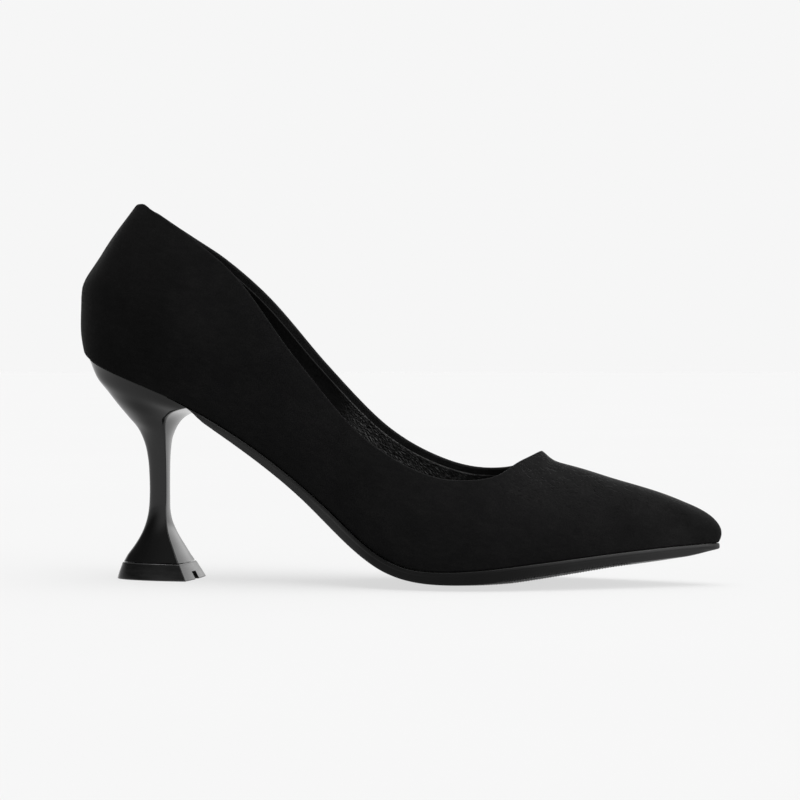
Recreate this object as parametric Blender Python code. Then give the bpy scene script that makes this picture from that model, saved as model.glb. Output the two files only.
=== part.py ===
"""Pointed court shoe with a spool heel, right foot, standing empty on the floor.

Objects are in metres. The tables are in millimetres: x runs from the back of the counter to the toe,
y from the heel's axis (minus is the outer side, plus the inner side) and z up from the floor.
"""
from collections import namedtuple
import math

import bmesh
import bpy
import numpy as np

# Driving dimensions, in millimetres
LENGTH = 241.0            # back of the counter to the tip of the toe
MIDDLE_Y = 1.0            # middle of the whole width, seen from the heel's axis
WALL = 1.8                # suede and lining together
GAP = 0.3                 # clearance between pieces that meet
INSOLE_THICK = 2.0
FULL_SAG_WIDTH = 30.0     # width from which the underside sags fully
SOLE_UNDERCUT = 0.9       # how far the sole's lower edge lies inside the feather line
TONGUE_X = 40.0           # back end of the sole, skived thin under the heel seat
TONGUE_STEP = 3.0         # length over which the heel's top steps down to the sole's tongue
TIP_HEIGHT = 6.2
NOTCH_WIDTH, NOTCH_HEIGHT, NOTCH_DEPTH = 5.0, 3.0, 1.6
COUNTER_CORNER = 2.7      # how far the bend of the counter stands out behind
COUNTER_CORNER_Z, COUNTER_CORNER_HALF = 111.0, 15.0
THROAT_LIP = 1.9          # how far the edge of the throat stands up
THROAT_LIP_LENGTH, THROAT_LIP_HALF = 3.0, 9.0

MM = 0.001
COLUMNS_PER_RIB = 2       # upper: columns between two rows of the table
LEVELS = 12               # upper: faces from the feather line to the top
ACROSS = 12               # soles: faces across the width
BACK_STEPS = 5            # heel: ring points between the last seat station and the back
SHORTEST = 1.0            # soles: no face along the sole is shorter than this
SAMPLES = 400             # points of the feather line that its height is read from
HALVINGS = 45             # rounds of each search by halving
WELD, SLIVER = 0.005, 0.001   # points nearer than WELD are one; edges shorter than SLIVER go

# Ribs of the last, from the back to the toe. A rib rises from the feather line (x, outer, inner, z) to
# the ridge (top_x, top_y, top_z), which behind the throat is the last's own cone, above the topline.
# swell_outer, swell_inner and rise set its lower handle, crown and drop the upper one.
Rib = namedtuple("Rib", "x outer inner z top_x top_y top_z swell_outer swell_inner rise crown drop")
RIBS = [
    Rib(3.0, 0.0, 0.0, 83.2, 31.5, 0.0, 152.0, 4.6, 4.6, 12.0, 32.0, 41.0),
    Rib(6.2, -12.0, 12.0, 81.8, 35.0, 0.0, 157.0, 5.6, 5.6, 15.0, 29.5, 40.0),
    Rib(14.5, -20.5, 20.5, 78.4, 39.0, 0.0, 163.0, 7.5, 7.5, 19.0, 29.0, 36.0),
    Rib(28.0, -24.2, 24.2, 73.0, 47.0, 0.0, 165.0, 9.0, 9.0, 21.0, 27.0, 34.0),
    Rib(46.0, -23.2, 22.6, 65.4, 57.0, 0.0, 161.0, 10.0, 10.5, 21.0, 27.0, 34.0),
    Rib(61.0, -21.6, 19.6, 57.6, 68.0, 0.0, 151.0, 10.5, 12.0, 20.0, 29.0, 31.0),
    Rib(76.0, -21.4, 17.6, 48.2, 80.0, 0.0, 137.0, 10.5, 13.5, 19.0, 31.0, 25.0),
    Rib(91.0, -23.2, 18.0, 37.2, 93.0, 0.0, 121.0, 10.0, 14.0, 17.0, 32.0, 19.0),
    Rib(105.0, -27.2, 21.0, 26.0, 106.0, 0.2, 106.0, 9.0, 13.0, 16.0, 32.0, 14.0),
    Rib(119.0, -31.8, 25.6, 14.6, 119.0, 0.5, 93.0, 7.5, 11.0, 15.0, 31.0, 10.0),
    Rib(133.0, -35.2, 31.4, 8.0, 132.0, 0.9, 81.0, 6.0, 8.5, 14.5, 29.0, 7.0),
    Rib(148.0, -36.3, 36.4, 6.7, 144.0, 1.3, 71.0, 5.0, 6.5, 14.0, 27.0, 5.0),
    Rib(163.0, -33.8, 38.4, 7.6, 155.0, 1.8, 62.5, 4.5, 5.0, 13.5, 25.0, 3.0),
    Rib(178.0, -27.8, 37.2, 9.4, 164.0, 2.3, 55.2, 4.2, 4.5, 13.5, 22.0, 1.5),
    Rib(190.0, -21.4, 34.4, 10.8, 170.5, 2.7, 50.6, 4.0, 4.2, 13.2, 20.0, 0.5),
    Rib(199.0, -16.0, 31.6, 11.9, 176.0, 3.1, 47.4, 4.0, 4.0, 13.0, 18.5, 0.0),
    Rib(208.0, -10.2, 28.4, 12.9, 182.0, 3.7, 45.1, 3.8, 3.8, 12.5, 17.5, 0.0),
    Rib(217.0, -4.4, 25.0, 13.8, 191.5, 4.9, 42.4, 3.8, 3.8, 11.8, 16.5, 0.0),
    Rib(226.0, 1.6, 21.3, 14.6, 203.0, 6.6, 38.8, 3.8, 3.8, 10.6, 15.5, 0.0),
    Rib(233.6, 6.7, 17.9, 15.1, 214.5, 8.6, 35.4, 3.8, 3.8, 8.6, 13.5, 0.0),
    Rib(238.4, 9.8, 15.4, 15.4, 223.0, 10.2, 32.4, 3.8, 3.8, 6.4, 12.0, 0.0),
    Rib(240.2, 12.8, 12.8, 15.4, 228.5, 11.2, 30.2, 3.7, 3.7, 5.2, 11.0, 0.0),
]
THROAT_RIB = 15           # the rib that ends at the throat of the vamp
RIB_LEAN = 0.3            # share of a rib's slant that its handles follow
RIDGE_FADE = 5            # ribs behind the throat over which the ridge's slope comes in

# Side view of the topline
Topline = namedtuple("Topline", "x outer_z inner_z")
TOPLINE = [
    Topline(20.0, 141.4, 141.4),
    Topline(24.0, 141.3, 141.0),
    Topline(30.0, 139.9, 136.2),
    Topline(38.0, 135.4, 130.2),
    Topline(52.0, 125.9, 120.7),
    Topline(68.0, 112.0, 106.6),
    Topline(90.0, 83.7, 81.2),
    Topline(114.0, 57.0, 57.2),
    Topline(136.0, 43.1, 45.0),
    Topline(152.0, 39.5, 42.0),
    Topline(164.0, 41.0, 43.6),
    Topline(171.0, 46.2, 47.2),
    Topline(176.0, 49.3, 49.3),
]

# Underside of the last: how far its middle hangs below the feather line. Then the sole: its own crown
# below that, and its thickness straight down at the edge, from the skived tongue to the toe.
Bottom = namedtuple("Bottom", "x sag crown thick")
BOTTOM = [
    Bottom(0.0, 0.4, 0.0, 0.6),
    Bottom(30.0, 0.8, 0.0, 0.6),
    Bottom(47.0, 0.7, 0.0, 0.8),
    Bottom(55.0, 0.7, 0.0, 2.2),
    Bottom(68.0, 0.6, 0.0, 3.6),
    Bottom(90.0, 0.7, 0.1, 4.7),
    Bottom(106.0, 1.0, 0.3, 5.9),
    Bottom(120.0, 1.6, 0.6, 5.1),
    Bottom(136.0, 2.2, 0.9, 4.2),
    Bottom(165.0, 2.4, 1.0, 3.9),
    Bottom(200.0, 1.4, 0.5, 3.5),
    Bottom(228.0, 0.4, 0.2, 3.8),
    Bottom(240.0, 0.2, 0.1, 2.1),
]

# D sections of the heel, each from its flat front face to the middle of its rounded back
HeelSection = namedtuple("HeelSection", "front_x front_z back_x back_z width square")
HEEL_SECTIONS = [
    HeelSection(41.6, TIP_HEIGHT + GAP, 17.2, TIP_HEIGHT + GAP, 22.0, 2.2),
    HeelSection(40.3, 9.0, 18.6, 9.0, 19.6, 2.2),
    HeelSection(38.9, 12.0, 20.9, 12.0, 17.0, 2.2),
    HeelSection(37.4, 15.0, 22.9, 15.0, 14.4, 2.2),
    HeelSection(36.2, 18.0, 24.5, 18.0, 12.0, 2.2),
    HeelSection(35.2, 21.5, 25.8, 21.5, 9.6, 2.2),
    HeelSection(34.5, 25.5, 26.7, 25.5, 7.6, 2.2),
    HeelSection(34.2, 31.0, 27.2, 31.0, 6.5, 2.2),
    HeelSection(34.2, 38.0, 27.2, 38.0, 6.5, 2.2),
    HeelSection(34.0, 44.0, 26.8, 45.0, 7.2, 2.2),
    HeelSection(34.0, 49.0, 25.6, 51.2, 8.8, 2.3),
    HeelSection(34.1, 53.4, 23.1, 56.8, 11.8, 2.4),
    HeelSection(34.8, 57.6, 19.7, 61.0, 16.5, 2.5),
    HeelSection(36.6, 61.2, 15.6, 66.2, 24.0, 2.6),
    HeelSection(39.8, 63.4, 12.0, 71.2, 32.5, 2.7),
    HeelSection(43.4, 64.2, 8.7, 75.8, 40.0, 2.8),
]
# The heel's top follows the feather line, with points at these x
SEAT_STATIONS = (46.4, 43.0, 39.7, 37.0, 33.0, 28.5, 23.5, 18.5, 14.0, 10.0)
SEAT_INSET = 0.5
RING_SQUARE = 3.0         # squareness of the D that the ring angles are taken from

# The flared tip below it
TipSection = namedtuple("TipSection", "z front_x back_x width")
TIP_SECTIONS = [
    TipSection(0.0, 45.2, 14.7, 27.8),
    TipSection(2.2, 44.1, 15.3, 26.2),
    TipSection(4.4, 42.9, 16.1, 24.4),
    TipSection(TIP_HEIGHT, 42.0, 16.7, 22.8),
]
TIP_SQUARE = 2.2

# Base colour, roughness
COLOURS = {
    "upper": ((0.010, 0.010, 0.011), 0.95),
    "insole": ((0.014, 0.014, 0.015), 0.55),
    "outsole": ((0.020, 0.020, 0.021), 0.45),
    "heel": ((0.012, 0.012, 0.013), 0.12),
    "heel_tip": ((0.020, 0.020, 0.021), 0.40),
}


# Smooth curves through table rows

def closed_spline(knots, values):
    """Return f(t), a smooth closed curve that passes each row of values at its knot."""
    steps = np.diff(knots)
    count = len(steps)
    ring = np.vstack([values, values[:1]])
    system = np.zeros((count, count))
    target = np.zeros((count, values.shape[1]))
    for i in range(count):
        before, after = steps[i - 1], steps[i]
        system[i, i - 1] += before
        system[i, i] += 2 * (before + after)
        system[i, (i + 1) % count] += after
        target[i] = 6 * ((ring[i + 1] - values[i]) / after - (values[i] - values[i - 1]) / before)
    bend = np.linalg.solve(system, target)
    bend = np.vstack([bend, bend[:1]])

    def at(t):
        t = t % knots[-1]
        i = min(int(np.searchsorted(knots, t, side="right")) - 1, count - 1)
        step = steps[i]
        a = (knots[i + 1] - t) / step
        b = 1 - a
        curve = (a ** 3 - a) * bend[i] + (b ** 3 - b) * bend[i + 1]
        return a * ring[i] + b * ring[i + 1] + curve * step * step / 6

    return at


def table_curve(rows, column):
    """Return f(x) for one column of a table whose first column is x, with no overshoot between rows."""
    x = np.array([row.x for row in rows])
    y = np.array([getattr(row, column) for row in rows])
    slope = np.diff(y) / np.diff(x)
    lean = np.concatenate([slope[:1], (slope[:-1] + slope[1:]) / 2, slope[-1:]])
    for i in range(1, len(x) - 1):
        if slope[i - 1] * slope[i] <= 0:
            lean[i] = 0.0
        else:
            limit = 3 * min(abs(slope[i - 1]), abs(slope[i]))
            lean[i] = math.copysign(min(abs(lean[i]), limit), slope[i])

    def at(value):
        i = min(max(int(np.searchsorted(x, value, side="right")) - 1, 0), len(x) - 2)
        step = x[i + 1] - x[i]
        t = (value - x[i]) / step
        if t < 0 or t > 1:
            end = 0 if t < 0 else -1
            return y[end] + lean[end] * (value - x[end])
        bend = (2 * t - 3) * t * t
        return (y[i] * (1 + bend) - y[i + 1] * bend
                + step * t * (1 - t) * ((1 - t) * lean[i] - t * lean[i + 1]))

    return at


def smoothstep(low, high, value):
    t = min(max((value - low) / (high - low), 0.0), 1.0)
    return t * t * (3 - 2 * t)


# The last. Its parameter t runs round the feather line: outer side to the toe, inner side back again.

def rib_knots():
    """Parameter of each rib: mean length of the two feather lines up to it."""
    knots = [0.0]
    for a, b in zip(RIBS, RIBS[1:]):
        outer = math.dist((a.x, a.outer, a.z), (b.x, b.outer, b.z))
        inner = math.dist((a.x, a.inner, a.z), (b.x, b.inner, b.z))
        knots.append(knots[-1] + (outer + inner) / 2)
    return np.array(knots)


KNOTS = rib_knots()
TOE_T = KNOTS[-1]
THROAT_T = KNOTS[THROAT_RIB]


def rib_values(rib, side):
    y, swell = (rib.outer, rib.swell_outer) if side < 0 else (rib.inner, rib.swell_inner)
    return (rib.x, y, rib.z, rib.top_x, rib.top_y, rib.top_z, swell, rib.rise, rib.crown, rib.drop)


LAST = closed_spline(
    np.concatenate([KNOTS, 2 * TOE_T - KNOTS[-2::-1]]),
    np.array([rib_values(rib, -1) for rib in RIBS] + [rib_values(rib, 1) for rib in RIBS[-2:0:-1]]))


def other_side(t):
    return 2 * TOE_T - t


def feather(t):
    return LAST(t)[:3]


def feather_height(x):
    """Height of the feather line at x; the two sides rise alike."""
    return np.interp(x, FEATHER_X, FEATHER_Z)


FEATHER_X, _, FEATHER_Z = np.array([feather(TOE_T * i / SAMPLES) for i in range(SAMPLES + 1)]).T


def outward(t):
    """Level direction out of the feather line at t."""
    step = 0.05
    run = feather(t + step) - feather(t - step)
    return np.array([run[1], -run[0], 0.0]) / math.hypot(run[0], run[1])


Ridge = namedtuple("Ridge", "x y z")
RIDGE = [Ridge(rib.top_x, rib.top_y, rib.top_z) for rib in RIBS]
RIDGE_Y = table_curve(RIDGE, "y")
RIDGE_Z = table_curve(RIDGE, "z")


def ridge_run(t):
    """Direction of the ridge at t, for one millimetre of x; level over the open part of the last."""
    before, after = LAST(t)[3] - 0.5, LAST(t)[3] + 0.5
    closed = smoothstep(KNOTS[THROAT_RIB - RIDGE_FADE], KNOTS[THROAT_RIB - 1], min(t, other_side(t)))
    y_slope = RIDGE_Y(after) - RIDGE_Y(before)
    z_slope = RIDGE_Z(after) - RIDGE_Z(before)
    return np.array([1.0, y_slope * closed, z_slope * closed])


def last_rib(t):
    """The four handles of the rib at t."""
    values = LAST(t)
    foot, top = values[:3], values[3:6]
    swell, rise, crown, drop = values[6:]
    out = outward(t)
    slant = RIB_LEAN * (top[0] - foot[0]) * abs(out[1])
    lower = foot + swell * out + np.array([slant, 0.0, rise])
    along = crown * out[0] - slant
    upper = top + along * ridge_run(t) + np.array([0.0, crown * out[1], -drop])
    return foot, lower, upper, top


def last_point(t, v):
    """Point of the last at t, from v = 0 at the feather line to v = 1 at the ridge."""
    a, b, c, d = last_rib(t)
    w = 1 - v
    point = w ** 3 * a + 3 * w * w * v * b + 3 * w * v * v * c + v ** 3 * d
    out = outward(t)
    corner = math.exp(-((point[2] - COUNTER_CORNER_Z) / COUNTER_CORNER_HALF) ** 2)
    throat = RIBS[THROAT_RIB]
    lip = math.exp(-((point[0] - throat.top_x) / THROAT_LIP_LENGTH) ** 2
                   - ((point[1] - throat.top_y) / THROAT_LIP_HALF) ** 2)
    point = point + out * COUNTER_CORNER * corner * max(-out[0], 0.0) ** 2
    return point + np.array([0.0, 0.0, THROAT_LIP * lip])


TOPLINE_OUTER = table_curve(TOPLINE, "outer_z")
TOPLINE_INNER = table_curve(TOPLINE, "inner_z")


def topline_v(t):
    """Where the topline cuts the rib at t, or 1 ahead of the throat."""
    from_back = min(t, other_side(t))
    if from_back >= THROAT_T:
        return 1.0
    height = TOPLINE_OUTER if t < TOE_T else TOPLINE_INNER
    low, high = 0.2, 1.0
    for _ in range(HALVINGS):
        v = (low + high) / 2
        x, _, z = last_point(t, v)
        if z < height(x):
            low = v
        else:
            high = v
    return low


# Meshes

def row_point(point):
    """Table millimetres to metres in the part's frame: middle of the whole box, on the floor."""
    return ((point[0] - LENGTH / 2) * MM, (point[1] - MIDDLE_Y) * MM, point[2] * MM)


def make_object(name, points, faces):
    mesh = bpy.data.meshes.new(name)
    mesh.from_pydata([row_point(point) for point in points], [], faces)
    bm = bmesh.new()
    bm.from_mesh(mesh)
    bmesh.ops.remove_doubles(bm, verts=bm.verts, dist=WELD * MM)
    bmesh.ops.dissolve_degenerate(bm, edges=bm.edges, dist=SLIVER * MM)
    bmesh.ops.recalc_face_normals(bm, faces=bm.faces)
    bm.to_mesh(mesh)
    bm.free()
    mesh.shade_smooth()
    obj = bpy.data.objects.new(name, mesh)
    bpy.context.scene.collection.objects.link(obj)
    colour, roughness = COLOURS[name]
    material = bpy.data.materials.new(name)
    material.use_nodes = True
    shader = material.node_tree.nodes["Principled BSDF"]
    shader.inputs["Base Color"].default_value = (*colour, 1.0)
    shader.inputs["Roughness"].default_value = roughness
    mesh.materials.append(material)
    return obj


def rib_stations(steps):
    """Parameters from the back to the toe, with the same number of steps between ribs."""
    return [a + (b - a) * i / steps for a, b in zip(KNOTS, KNOTS[1:]) for i in range(steps)] + [TOE_T]


def build_upper():
    """One wall over the last, open along the topline and along the feather line."""
    stations = rib_stations(COLUMNS_PER_RIB)
    columns = stations + [other_side(t) for t in stations[-2:0:-1]]
    points, faces = [], []
    for t in columns:
        cut = topline_v(t)
        points += [last_point(t, cut * k / LEVELS) for k in range(LEVELS + 1)]
    height = LEVELS + 1
    for c in range(len(columns)):
        here, there = c * height, (c + 1) % len(columns) * height
        for k in range(LEVELS):
            faces.append((here + k, there + k, there + k + 1, here + k + 1))
    upper = make_object("upper", points, faces)
    wall = upper.modifiers.new("wall", "SOLIDIFY")
    wall.thickness = WALL * MM
    wall.offset = -1.0
    wall.use_even_offset = True
    wall.use_quality_normals = True
    return upper


LAST_SAG = table_curve(BOTTOM, "sag")
SOLE_CROWN = table_curve(BOTTOM, "crown")
SOLE_THICK = table_curve(BOTTOM, "thick")


def hang(t, share):
    """How much of a sag the underside has at (t, share): none at the edges and at the two ends."""
    width = feather(other_side(t))[1] - feather(t)[1]
    return (1 - share * share) * smoothstep(0.0, FULL_SAG_WIDTH, width)


def across(t, inset, share):
    """Point on the underside of the last: share runs from the outer edge (-1) to the inner edge (1)."""
    outer = feather(t) - inset * outward(t)
    inner = feather(other_side(t)) - inset * outward(other_side(t))
    point = outer + (inner - outer) * (1 + share) / 2
    point[2] = feather_height(point[0]) - LAST_SAG(point[0]) * hang(t, share)
    return point


def slab(name, stations, top, bottom):
    """A closed slab between two grids of points; each function gives the point at (t, share)."""
    shares = [-math.cos(math.pi * i / ACROSS) for i in range(ACROSS + 1)]
    width = ACROSS + 1
    points = [grid(t, share) for grid in (top, bottom) for t in stations for share in shares]
    under = len(stations) * width
    faces = []
    for s in range(len(stations) - 1):
        for i in range(ACROSS):
            a = s * width + i
            faces.append((a, a + width, a + width + 1, a + 1))
            faces.append((under + a, under + a + 1, under + a + width + 1, under + a + width))
        for edge in (s * width, s * width + ACROSS):
            faces.append((edge, edge + width, under + edge + width, under + edge))
    for end in (0, (len(stations) - 1) * width):
        for i in range(ACROSS):
            faces.append((end + i, end + i + 1, under + end + i + 1, under + end + i))
    return make_object(name, points, faces)


def lowered(point, drop):
    return np.array([point[0], point[1], point[2] - drop])


def build_insole():
    """Board inside the wall, following the bottom of the last."""
    inset = WALL + 2 * GAP
    return slab("insole", rib_stations(COLUMNS_PER_RIB),
                lambda t, share: lowered(across(t, inset, share), -INSOLE_THICK),
                lambda t, share: across(t, inset, share))


def sole_top(t, share):
    return lowered(across(t, -GAP, share), GAP)


def sole_bottom(t, share):
    point = across(t, SOLE_UNDERCUT, share)
    drop = GAP + SOLE_THICK(point[0]) + SOLE_CROWN(point[0]) * hang(t, share)
    return lowered(point, min(drop, point[2]))


def station_at(x):
    """Parameter on the outer side where the feather line passes x."""
    low, high = 0.0, TOE_T
    for _ in range(HALVINGS):
        t = (low + high) / 2
        low, high = (t, high) if feather(t)[0] < x else (low, t)
    return low


def build_outsole():
    start = station_at(TONGUE_X)
    stations = [start] + [t for t in rib_stations(COLUMNS_PER_RIB) if t > start + SHORTEST]
    return slab("outsole", stations, sole_top, sole_bottom)


def ring_angles():
    """Angles round a D, outer front corner to inner front corner, with points at the seat's stations."""
    front = SEAT_STATIONS[0]
    depth = front - RIBS[0].x
    half = [math.asin(((front - x) / depth) ** (RING_SQUARE / 2)) for x in SEAT_STATIONS]
    rest = math.pi / 2 - half[-1]
    half += [half[-1] + rest * i / BACK_STEPS for i in range(1, BACK_STEPS + 1)]
    return half + [math.pi - angle for angle in half[-2::-1]]


RING_ANGLES = ring_angles()


def d_ring(square):
    """Outline of a D as (along, aside): along 0 at the back and 1 at the front, aside -1 to 1."""
    ring = []
    for angle in RING_ANGLES:
        aside = -math.copysign(abs(math.cos(angle)) ** (2 / square), math.cos(angle))
        ring.append((1 - math.sin(angle) ** (2 / square), aside))
    return ring + [(1.0, 1 - 2 * i / ACROSS) for i in range(1, ACROSS)]


def loft(name, rings, top_points=None):
    """Closed solid through rings of equal length, bottom to top.

    top_points(a, b) gives the points that join two ring points across a top that isn't flat.
    """
    count = len(rings[0])
    points = [point for ring in rings for point in ring]
    faces = [tuple(range(count))]
    for r in range(len(rings) - 1):
        for i in range(count):
            j = (i + 1) % count
            faces.append((r * count + i, r * count + j, (r + 1) * count + j, (r + 1) * count + i))
    if top_points is None:
        faces.append(tuple(range(len(points) - count, len(points))))
        return make_object(name, points, faces)
    rows = []
    round_side = len(RING_ANGLES)
    for i in range(round_side // 2 + 1):
        row = top_points(rings[-1][i], rings[-1][round_side - 1 - i])
        rows.append(range(len(points), len(points) + len(row)))
        points += row
    for a, b in zip(rows, rows[1:]):
        faces += [(a[i], a[i + 1], b[i + 1], b[i]) for i in range(len(a) - 1)]
    return make_object(name, points, faces)


def heel_ring(section):
    ring = []
    for along, aside in d_ring(section.square):
        ring.append(np.array([section.back_x + along * (section.front_x - section.back_x),
                              aside * section.width / 2,
                              section.back_z + along * (section.front_z - section.back_z)]))
    return ring


def seat_point(x, y):
    """Top of the heel: under the upper, and under the sole's tongue near the breast."""
    t = station_at(x)
    half = feather(other_side(t))[1]
    share = min(max(y / half, -1.0), 1.0)
    step = smoothstep(TONGUE_X - TONGUE_STEP, TONGUE_X - GAP, x) * (SOLE_THICK(x) + GAP)
    return np.array([x, y, across(t, 0.0, share)[2] - GAP - step])


def seat_row(a, b):
    """Points across the cupped seat, from one side of the heel's top to the other."""
    return [seat_point(*(a + (b - a) * i / ACROSS)[:2]) for i in range(ACROSS + 1)]


def seat_ring():
    """Outline of the heel's top, just inside the feather line, closed by the straight breast."""
    half = [station_at(x) for x in SEAT_STATIONS]
    half += [half[-1] * (1 - i / BACK_STEPS) for i in range(1, BACK_STEPS + 1)]
    ring = []
    for t in half + [other_side(t) for t in half[-2::-1]]:
        x, y, _ = feather(t) - SEAT_INSET * outward(t)
        ring.append(seat_point(x, y))
    return ring + seat_row(ring[-1], ring[0])[1:-1]


def build_heel():
    """Spool with a flat front, whose top is cupped to take the seat of the last."""
    return loft("heel", [heel_ring(section) for section in HEEL_SECTIONS] + [seat_ring()], seat_row)


def build_heel_tip():
    rings = []
    for row in TIP_SECTIONS:
        rings.append(heel_ring(HeelSection(row.front_x, row.z, row.back_x, row.z, row.width, TIP_SQUARE)))
    tip = loft("heel_tip", rings)
    front = TIP_SECTIONS[0].front_x
    centre = row_point((front, 0.0, 0.0))
    bpy.ops.mesh.primitive_cube_add(size=1.0, location=centre)
    cutter = bpy.context.active_object
    cutter.name = "notch_cutter"
    cutter.scale = (2 * NOTCH_DEPTH * MM, NOTCH_WIDTH * MM, 2 * NOTCH_HEIGHT * MM)
    cutter.hide_render = True
    cutter.display_type = "WIRE"
    cut = tip.modifiers.new("notch", "BOOLEAN")
    cut.object = cutter
    cut.operation = "DIFFERENCE"
    return tip


def main():
    for obj in list(bpy.data.objects):
        bpy.data.objects.remove(obj, do_unlink=True)
    build_upper()
    build_insole()
    build_outsole()
    build_heel()
    build_heel_tip()


main()
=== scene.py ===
from collections import namedtuple
import math

import bmesh
import bpy
import numpy as np
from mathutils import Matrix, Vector
from mathutils.kdtree import KDTree


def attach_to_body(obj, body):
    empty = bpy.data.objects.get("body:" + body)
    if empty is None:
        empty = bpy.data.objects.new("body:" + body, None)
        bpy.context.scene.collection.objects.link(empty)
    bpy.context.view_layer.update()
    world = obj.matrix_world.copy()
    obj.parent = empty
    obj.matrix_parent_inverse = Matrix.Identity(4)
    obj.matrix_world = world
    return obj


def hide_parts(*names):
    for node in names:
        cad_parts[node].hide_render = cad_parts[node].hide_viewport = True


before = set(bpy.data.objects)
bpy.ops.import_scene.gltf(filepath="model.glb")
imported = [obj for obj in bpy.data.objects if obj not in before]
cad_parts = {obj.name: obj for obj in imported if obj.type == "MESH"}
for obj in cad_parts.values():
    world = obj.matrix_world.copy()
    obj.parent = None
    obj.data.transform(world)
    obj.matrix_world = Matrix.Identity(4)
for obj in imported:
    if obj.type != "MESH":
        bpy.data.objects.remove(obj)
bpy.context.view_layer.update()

MM = 0.001
LENGTH = 241.0  # over all; the frame's x = 0 is in the middle of it
MIDDLE_Y = 1.0  # y of the tables at the frame's y = 0
GAP = 0.3  # between neighbouring pieces
WELD, SHORTEST_EDGE = 0.001, 0.0005  # closer points are joined, and shorter edges removed
SHARP_ANGLE, TIP_SHARP_ANGLE = 50.0, 40.0
TINY = 1e-9
SUEDE_WALL = 1.36  # suede with its stiffener; its edge is a half round of this thickness
LINING_THICK = 0.44
LINING_DROP = 2.8  # how far below the topline the lining starts, under the suede facing
INSOLE_THICK = 2.0
SOCK_THICK = 0.35
LINING_GAP, SOCK_GAP = 0.02, 0.12  # to the suede, and to the lining
FULL_SAG_WIDTH = 30.0  # where the shoe is as wide as this, its underside sags in full
TONGUE_X = 41.0  # end of the sole's tongue, under the heel seat
TIP_HEIGHT = 6.2
NOTCH_WIDTH, NOTCH_HEIGHT, NOTCH_DEPTH = 5.0, 3.0, 1.6
FEATHER_ROUND, BACK_ROUND = 0.45, 2.2  # rounding where the suede turns under: at the sides, at the back
MOST_TURNED = 1.15  # how far in the suede's lowest edge may go
THROAT_LIP, THROAT_LIP_LENGTH, THROAT_LIP_HALF = 1.9, 3.0, 9.0  # small rise of the vamp at the throat

Rib = namedtuple("Rib", "x outer inner z top_x top_y top_z swell_outer swell_inner rise crown drop")
RIBS = [Rib(*row) for row in (
    (3.0, 0.0, 0.0, 84.3, 31.5, 0.0, 152.0, 4.6, 4.6, 12.0, 32.0, 41.0),
    (6.2, -12.0, 12.0, 82.9, 35.0, 0.0, 157.0, 5.6, 5.6, 15.0, 29.5, 40.0),
    (14.5, -20.5, 20.5, 79.5, 39.0, 0.0, 163.0, 7.5, 7.5, 19.0, 29.0, 36.0),
    (28.0, -24.2, 24.2, 74.1, 47.0, 0.0, 165.0, 9.0, 9.0, 21.0, 27.0, 34.0),
    (46.0, -23.2, 22.6, 66.3, 57.0, 0.0, 161.0, 10.0, 10.5, 21.0, 27.0, 34.0),
    (61.0, -21.6, 19.6, 57.9, 68.0, 0.0, 151.0, 10.5, 12.0, 20.0, 29.0, 31.0),
    (76.0, -21.4, 17.6, 48.2, 80.0, 0.0, 137.0, 10.5, 13.5, 19.0, 31.0, 25.0),
    (91.0, -23.2, 18.0, 37.2, 93.0, 0.0, 121.0, 10.0, 14.0, 17.0, 32.0, 19.0),
    (105.0, -27.2, 21.0, 26.0, 106.0, 0.2, 106.0, 9.0, 13.0, 16.0, 32.0, 14.0),
    (119.0, -31.8, 25.6, 14.6, 119.0, 0.5, 93.0, 7.5, 11.0, 15.0, 31.0, 10.0),
    (133.0, -35.2, 31.4, 8.0, 132.0, 0.9, 81.0, 6.0, 8.5, 14.5, 29.0, 7.0),
    (148.0, -36.3, 36.4, 6.7, 144.0, 1.3, 71.0, 5.0, 6.5, 14.0, 27.0, 5.0),
    (163.0, -33.8, 38.4, 7.6, 155.0, 1.8, 62.5, 4.5, 5.0, 13.5, 25.0, 3.0),
    (178.0, -27.8, 37.2, 9.4, 164.0, 2.3, 55.2, 4.2, 4.5, 13.5, 22.0, 1.5),
    (190.0, -21.4, 34.4, 10.8, 170.5, 2.7, 50.6, 4.0, 4.2, 13.2, 20.0, 0.5),
    (199.0, -16.0, 31.6, 11.9, 176.0, 3.1, 47.4, 4.0, 4.0, 13.0, 18.5, 0.0),
    (208.0, -10.2, 28.4, 12.9, 182.0, 3.7, 45.1, 3.8, 3.8, 12.5, 17.5, 0.0),
    (217.0, -4.4, 25.0, 13.8, 191.5, 4.9, 42.4, 3.8, 3.8, 11.8, 16.5, 0.0),
    (226.0, 1.6, 21.3, 14.6, 203.0, 6.6, 38.8, 3.8, 3.8, 10.6, 15.5, 0.0),
    (233.6, 6.7, 17.9, 15.1, 214.5, 8.6, 35.4, 3.8, 3.8, 8.6, 13.5, 0.0),
    (238.4, 9.8, 15.4, 15.4, 223.0, 10.2, 32.4, 3.8, 3.8, 6.4, 12.0, 0.0),
    (240.2, 12.8, 12.8, 15.4, 228.5, 11.2, 30.2, 3.7, 3.7, 5.2, 11.0, 0.0),
)]
THROAT_RIB = 15
RIB_LEAN = 0.3  # share of a rib's slant that its lower handle takes up
RIDGE_FADE = 5  # ribs behind the throat over which the handles turn along the ridge

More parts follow.
